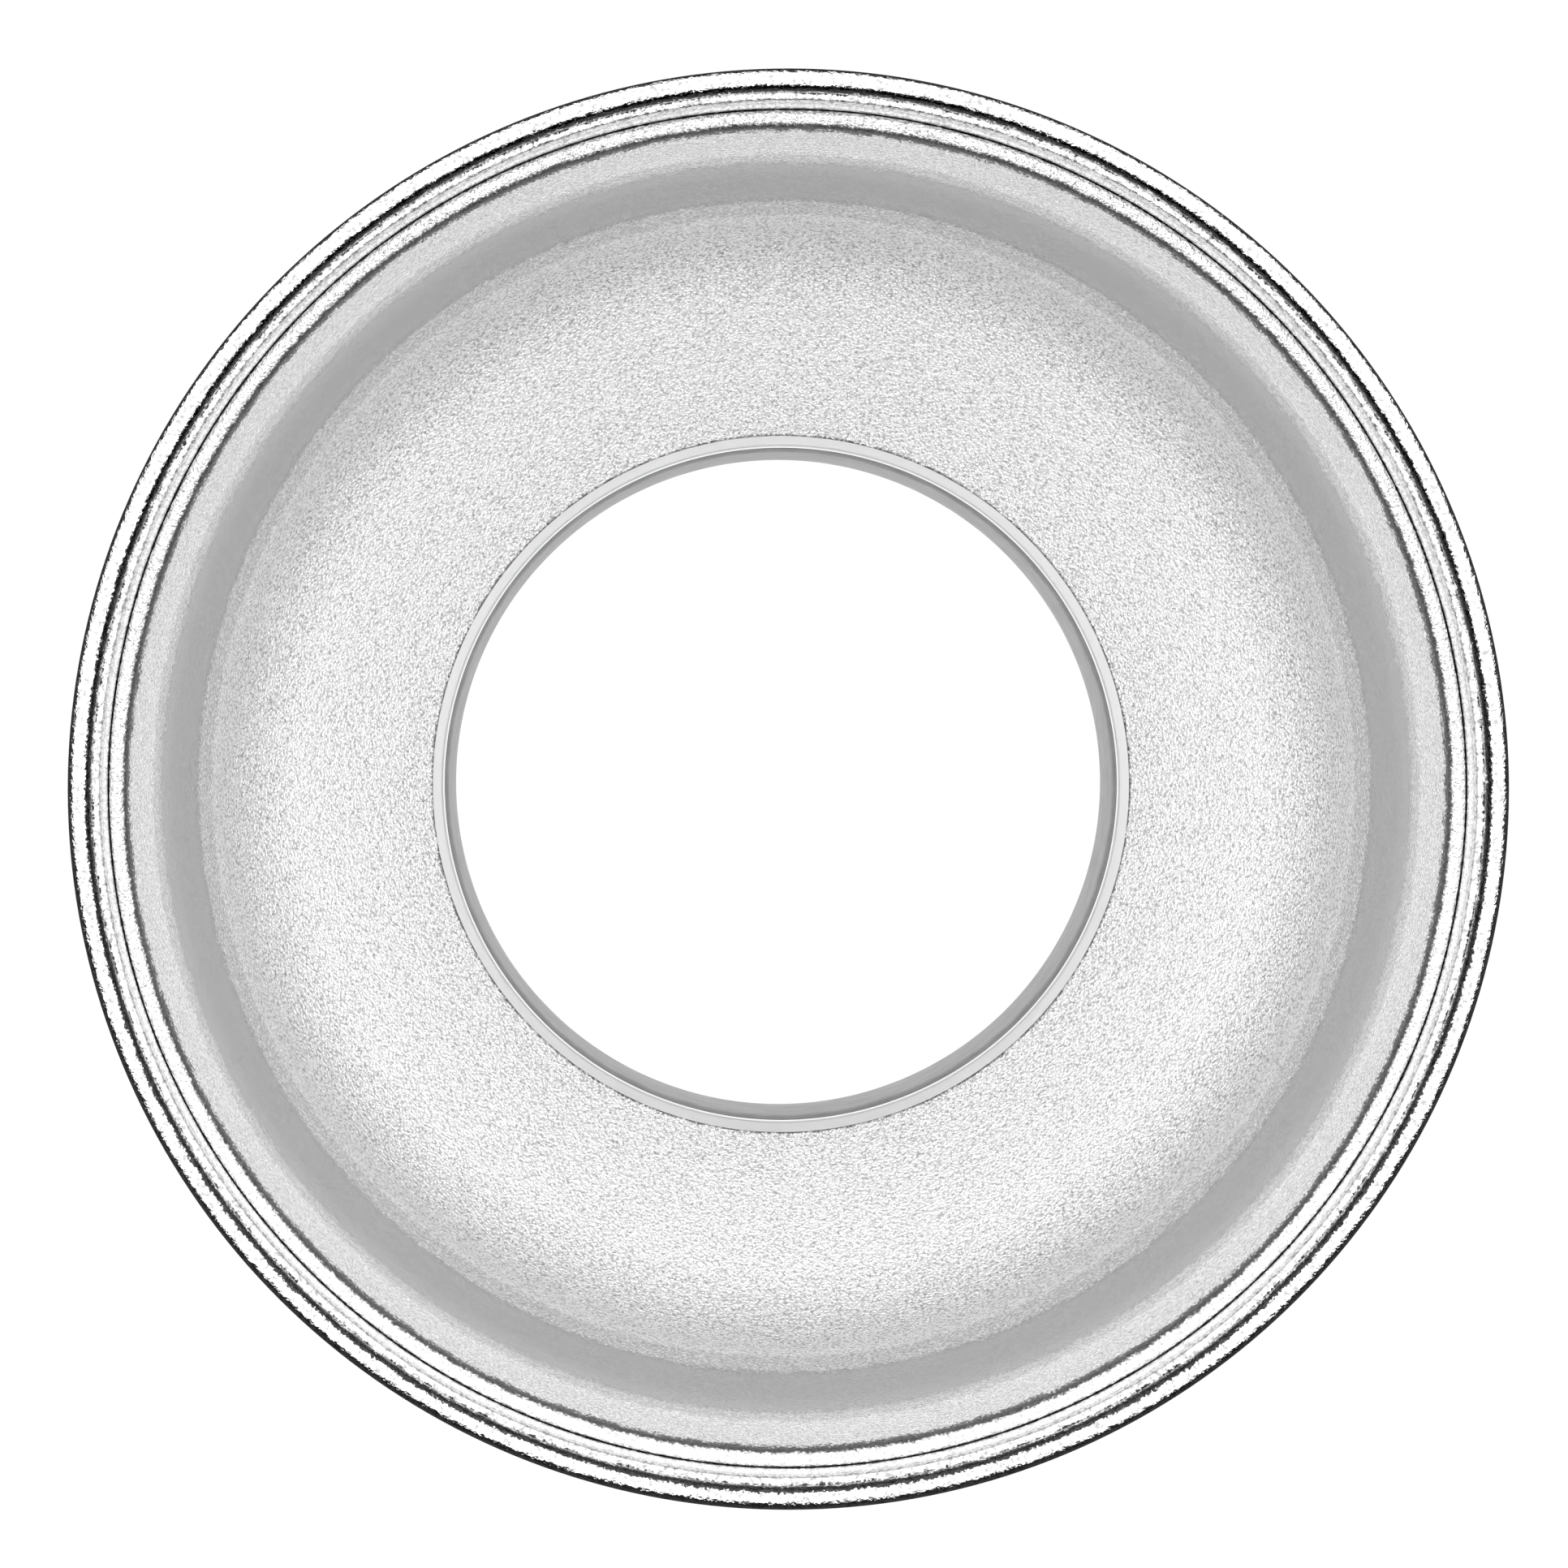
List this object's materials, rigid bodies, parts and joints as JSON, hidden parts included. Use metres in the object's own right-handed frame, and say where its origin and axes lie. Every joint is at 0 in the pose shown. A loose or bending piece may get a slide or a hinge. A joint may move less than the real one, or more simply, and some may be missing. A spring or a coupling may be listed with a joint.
{
  "type": "studio flash reflector dish",
  "caption": "Round metal reflector dish with a stepped grid seat and a quick-release clamp collar that slips over a flash head's tube.",
  "frame": {"origin": "on the dish's axis, level with the rear end of the neck that it stands on", "axes": "+Z is the dish's axis, the way the light leaves; the clamp's latch is on the -Y side and its lever points to +X"},
  "size_m": [0.1946, 0.1946, 0.122],
  "materials": {
    "hammered_aluminium": "bright, finely hammered inside; black paint on the back",
    "hammered_aluminium_ring": "bright, finely hammered; black paint outside",
    "collar_metal": "black paint, bare smooth metal on the lip",
    "grey_rubber": "matte, slightly mottled",
    "band_steel": "brushed along the band",
    "bracket_steel": "satin",
    "lever_black": "black powder coat",
    "plated_steel": "zinc plated"
  },
  "bodies": {
    "reflector": {"reflector_bowl": "hammered_aluminium", "front_ring": "hammered_aluminium_ring", "neck_collar": "collar_metal", "grip_sleeve": "grey_rubber", "clamp_band": "band_steel", "latch_base": "bracket_steel", "catch_bracket": "bracket_steel", "base_rivet_1": "plated_steel", "base_rivet_2": "plated_steel", "catch_rivet_1": "plated_steel", "catch_rivet_2": "plated_steel", "anchor_rivet_1": "plated_steel", "anchor_rivet_2": "plated_steel", "lever_pin_upper": "plated_steel", "lever_pin_lower": "plated_steel"},
    "lever": {"latch_lever": "lever_black"},
    "trunnion": {"trunnion": "plated_steel", "thrust_washer": "plated_steel"},
    "bolt": {"draw_bolt": "plated_steel"},
    "nut": {"adjuster_nut": "plated_steel"}
  },
  "joints": [
    {"name": "lever_hinge", "type": "hinge", "parent": "reflector", "child": "lever", "pos_m": [0.02, -0.05907, 0.012], "axis": [0, 0, -1], "range_deg": [0, 110]},
    {"name": "bolt_swing", "type": "hinge", "parent": "lever", "child": "trunnion", "pos_m": [0.02547, -0.0585, 0.012], "axis": [0, 0, -1], "range_deg": [-130, 0]},
    {"name": "nut_turn", "type": "hinge", "parent": "trunnion", "child": "nut", "pos_m": [0.02547, -0.0585, 0.012], "axis": [-1, 0, 0], "range_deg": [0, 1543]},
    {"name": "bolt_slide", "type": "slide", "parent": "trunnion", "child": "bolt", "axis": [-1, 0, 0], "range_m": [0, 0.003]}
  ],
  "couplings": [
    {"joint": "bolt_swing", "follows": "lever_hinge", "ratio": -1.1818},
    {"joint": "nut_turn", "follows": "bolt_slide", "rad_per_m": 8976}
  ]
}
